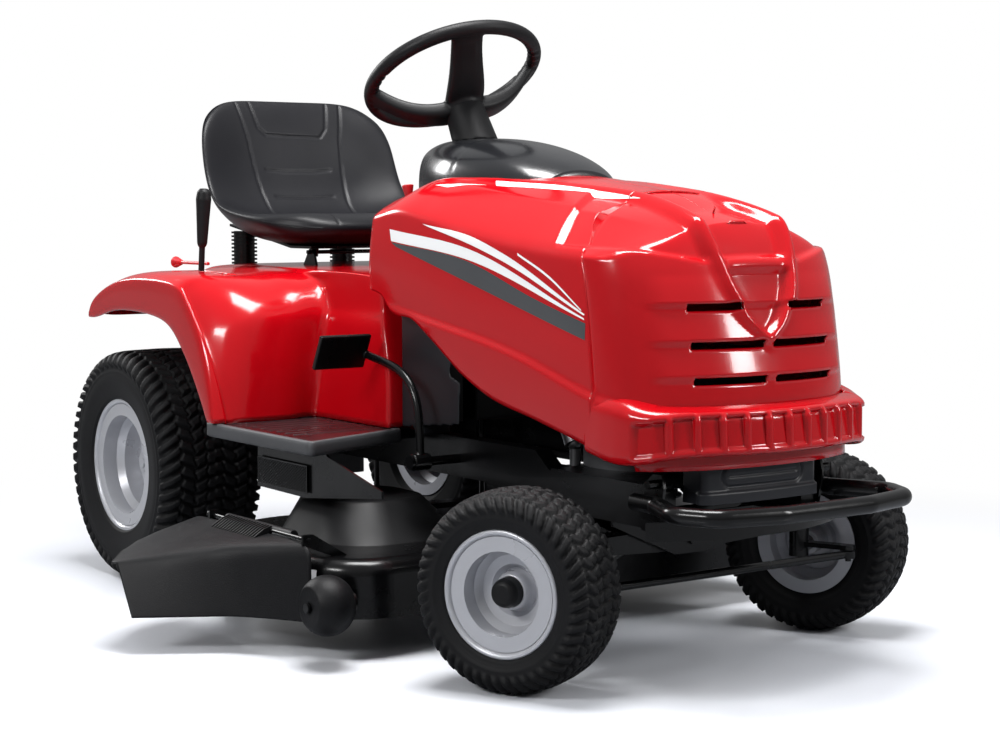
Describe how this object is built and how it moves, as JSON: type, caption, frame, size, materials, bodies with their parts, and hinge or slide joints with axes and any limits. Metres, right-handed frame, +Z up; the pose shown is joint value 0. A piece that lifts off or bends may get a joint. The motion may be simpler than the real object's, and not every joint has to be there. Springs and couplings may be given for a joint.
{
  "type": "riding lawn mower",
  "caption": "Ride-on garden tractor: steered front axle, tilting hood and seat, hydrostatic rear drive and a height-adjustable twin-blade deck with a side discharge flap.",
  "frame": {"origin": "on the ground, under the middle of the machine's box", "axes": "+X forward, +Y to the driver's left, +Z up"},
  "size_m": [1.779, 1.287, 1.0826],
  "materials": {
    "red_body": "gloss",
    "black_paint": "satin",
    "dark_plastic": "matt",
    "gloss_black": "gloss",
    "seat_skin": "satin",
    "tyre": "matt",
    "rim": "satin",
    "steel": "satin",
    "zinc": "satin",
    "alloy": "satin",
    "belt": "matt",
    "red_plastic": "satin",
    "tank": "satin"
  },
  "bodies": {
    "chassis": {"frame_rail_right": "black_paint", "frame_rail_left": "black_paint", "frame_plates": "black_paint", "tow_hitch": "black_paint", "front_axle_brackets": "black_paint", "transaxle": "alloy", "drive_belt": "belt", "engine_block": "alloy", "blower_housing": "black_paint", "muffler_guard": "black_paint", "fuel_tank": "tank", "steering_column": "steel", "column_cover": "dark_plastic", "console": "dark_plastic", "dash_dome": "gloss_black", "rear_body": "red_body", "running_boards": "dark_plastic", "side_guards": "black_paint", "bumper": "black_paint", "seat_mounts": "black_paint"},
    "rear_wheel_right": {"rear_rim_right": "rim", "rear_tyre_right": "tyre"},
    "rear_wheel_left": {"rear_rim_left": "rim", "rear_tyre_left": "tyre"},
    "front_axle": {"front_axle": "black_paint"},
    "knuckle_right": {"knuckle_right": "steel"},
    "knuckle_left": {"knuckle_left": "steel"},
    "front_wheel_right": {"front_rim_right": "rim", "front_tyre_right": "tyre", "hub_cap_right": "dark_plastic"},
    "front_wheel_left": {"front_rim_left": "rim", "front_tyre_left": "tyre", "hub_cap_left": "dark_plastic"},
    "tie_rod": {"tie_rod": "zinc"},
    "drag_link": {"drag_link": "zinc"},
    "steering": {"steering_wheel": "dark_plastic", "steering_shaft": "steel"},
    "pinion": {"steering_pinion": "steel"},
    "quadrant": {"steering_quadrant": "steel"},
    "crankshaft": {"crankshaft": "steel"},
    "drive_pulley": {"drive_pulley": "steel"},
    "deck": {"deck_shell": "black_paint", "deck_pins": "zinc", "spindle_housings": "alloy", "blade_belt": "belt", "belt_covers": "dark_plastic"},
    "blade_right": {"blade_right": "steel"},
    "blade_left": {"blade_left": "steel"},
    "gauge_wheel_right": {"gauge_wheel_right": "dark_plastic"},
    "gauge_wheel_left": {"gauge_wheel_left": "dark_plastic"},
    "deflector": {"deflector": "dark_plastic"},
    "hood": {"hood_shell": "red_body", "hood_nose": "red_body"},
    "seat": {"seat": "seat_skin", "seat_frame": "black_paint"},
    "drive_pedal": {"drive_pedal": "black_paint"},
    "height_lever": {"height_lever": "dark_plastic"},
    "throttle_lever": {"throttle_lever": "red_plastic"},
    "release_knob": {"release_knob": "red_plastic"}
  },
  "joints": [
    {"name": "rear_wheel_right_spin", "type": "hinge", "parent": "chassis", "child": "rear_wheel_right", "pos_m": [-0.6545, -0.2645, 0.228], "axis": [0, 1, 0], "continuous": true},
    {"name": "rear_wheel_left_spin", "type": "hinge", "parent": "chassis", "child": "rear_wheel_left", "pos_m": [-0.6545, 0.4475, 0.228], "axis": [0, 1, 0], "continuous": true},
    {"name": "front_axle_rock", "type": "hinge", "parent": "chassis", "child": "front_axle", "pos_m": [0.5305, 0.0915, 0.2], "axis": [1, 0, 0], "range_deg": [-4, 4]},
    {"name": "steering_turn", "type": "hinge", "parent": "chassis", "child": "steering", "pos_m": [-0.1309, 0.0915, 0.9886], "axis": [-0.5, 0, 0.866], "range_deg": [-372, 84]},
    {"name": "pinion_turn", "type": "hinge", "parent": "chassis", "child": "pinion", "pos_m": [0.2505, 0.0915, 0.2], "axis": [0, 0, 1], "range_deg": [-372, 84]},
    {"name": "quadrant_turn", "type": "hinge", "parent": "chassis", "child": "quadrant", "pos_m": [0.3255, 0.0915, 0.176], "axis": [0, 0, 1], "range_deg": [-62, 14]},
    {"name": "knuckle_right_steer", "type": "hinge", "parent": "front_axle", "child": "knuckle_right", "pos_m": [0.5305, -0.1815, 0.2], "axis": [0, 0, 1], "range_deg": [-62, 14]},
    {"name": "front_wheel_right_spin", "type": "hinge", "parent": "knuckle_right", "child": "front_wheel_right", "pos_m": [0.56507, -0.25915, 0.157], "axis": [0.4067, -0.9135, 0], "continuous": true},
    {"name": "knuckle_left_steer", "type": "hinge", "parent": "front_axle", "child": "knuckle_left", "pos_m": [0.5305, 0.3645, 0.2], "axis": [0, 0, 1], "range_deg": [-62, 14]},
    {"name": "front_wheel_left_spin", "type": "hinge", "parent": "knuckle_left", "child": "front_wheel_left", "pos_m": [0.49364, 0.44109, 0.157], "axis": [-0.4337, 0.9011, 0], "continuous": true},
    {"name": "tie_rod_swing", "type": "hinge", "parent": "knuckle_right", "child": "tie_rod", "pos_m": [0.61272, -0.14489, 0.15], "axis": [0, 0, 1], "range_deg": [-14, 62]},
    {"name": "drag_link_swing", "type": "hinge", "parent": "knuckle_right", "child": "drag_link", "pos_m": [0.55192, -0.14306, 0.15], "axis": [0, 0, 1], "range_deg": [-14, 62]},
    {"name": "crankshaft_spin", "type": "hinge", "parent": "chassis", "child": "crankshaft", "pos_m": [0.4455, 0.0915, 0.3], "axis": [0, 0, 1], "continuous": true},
    {"name": "drive_pulley_spin", "type": "hinge", "parent": "chassis", "child": "drive_pulley", "pos_m": [-0.5845, 0.0915, 0.29], "axis": [0, 0, 1], "continuous": true},
    {"name": "deck_lift", "type": "slide", "parent": "chassis", "child": "deck", "axis": [0, 0, 1], "range_m": [-0.045, 0]},
    {"name": "blade_right_spin", "type": "hinge", "parent": "deck", "child": "blade_right", "pos_m": [0.0005, -0.1435, 0.1], "axis": [0, 0, 1], "continuous": true},
    {"name": "gauge_wheel_right_spin", "type": "hinge", "parent": "deck", "child": "gauge_wheel_right", "pos_m": [0.2605, -0.4205, 0.1], "axis": [0, 1, 0], "continuous": true},
    {"name": "blade_left_spin", "type": "hinge", "parent": "deck", "child": "blade_left", "pos_m": [0.0005, 0.3265, 0.1], "axis": [0, 0, 1], "continuous": true},
    {"name": "gauge_wheel_left_spin", "type": "hinge", "parent": "deck", "child": "gauge_wheel_left", "pos_m": [0.2605, 0.6035, 0.1], "axis": [0, 1, 0], "continuous": true},
    {"name": "deflector_flap", "type": "hinge", "parent": "deck", "child": "deflector", "pos_m": [0.0205, -0.4145, 0.196], "axis": [-1, 0, 0], "range_deg": [0, 80], "stiffness_Nm_per_rad": 0.25, "springref_deg": -28.65},
    {"name": "hood_tilt", "type": "hinge", "parent": "chassis", "child": "hood", "pos_m": [0.6805, 0.0915, 0.318], "axis": [0, 1, 0], "range_deg": [0, 40]},
    {"name": "seat_tilt", "type": "hinge", "parent": "chassis", "child": "seat", "pos_m": [-0.4545, 0.0915, 0.652], "axis": [0, 1, 0], "range_deg": [0, 25]},
    {"name": "pedal_press", "type": "hinge", "parent": "chassis", "child": "drive_pedal", "pos_m": [0.1265, -0.1535, 0.3], "axis": [0, 1, 0], "range_deg": [0, 18], "stiffness_Nm_per_rad": 8, "springref_deg": -22.92},
    {"name": "height_lever_turn", "type": "hinge", "parent": "chassis", "child": "height_lever", "pos_m": [-0.5045, -0.2585, 0.486], "axis": [0, 1, 0], "range_deg": [0, 30]},
    {"name": "throttle_turn", "type": "hinge", "parent": "chassis", "child": "throttle_lever", "pos_m": [-0.0665, -0.0485, 0.742], "axis": [0, 1, 0], "range_deg": [-30, 0]},
    {"name": "release_pull", "type": "slide", "parent": "chassis", "child": "release_knob", "axis": [-1, 0, 0], "range_m": [0, 0.02]}
  ],
  "couplings": [
    {"joint": "pinion_turn", "follows": "steering_turn", "ratio": 1},
    {"joint": "quadrant_turn", "follows": "steering_turn", "ratio": 0.16667},
    {"joint": "knuckle_right_steer", "follows": "steering_turn", "ratio": 0.16667},
    {"joint": "knuckle_left_steer", "follows": "steering_turn", "ratio": 0.16667},
    {"joint": "tie_rod_swing", "follows": "steering_turn", "ratio": -0.16667},
    {"joint": "drag_link_swing", "follows": "steering_turn", "ratio": -0.16667},
    {"joint": "drive_pulley_spin", "follows": "crankshaft_spin", "ratio": 0.76667},
    {"joint": "blade_left_spin", "follows": "blade_right_spin", "ratio": 1},
    {"joint": "height_lever_turn", "follows": "deck_lift", "rad_per_m": -11.63}
  ]
}
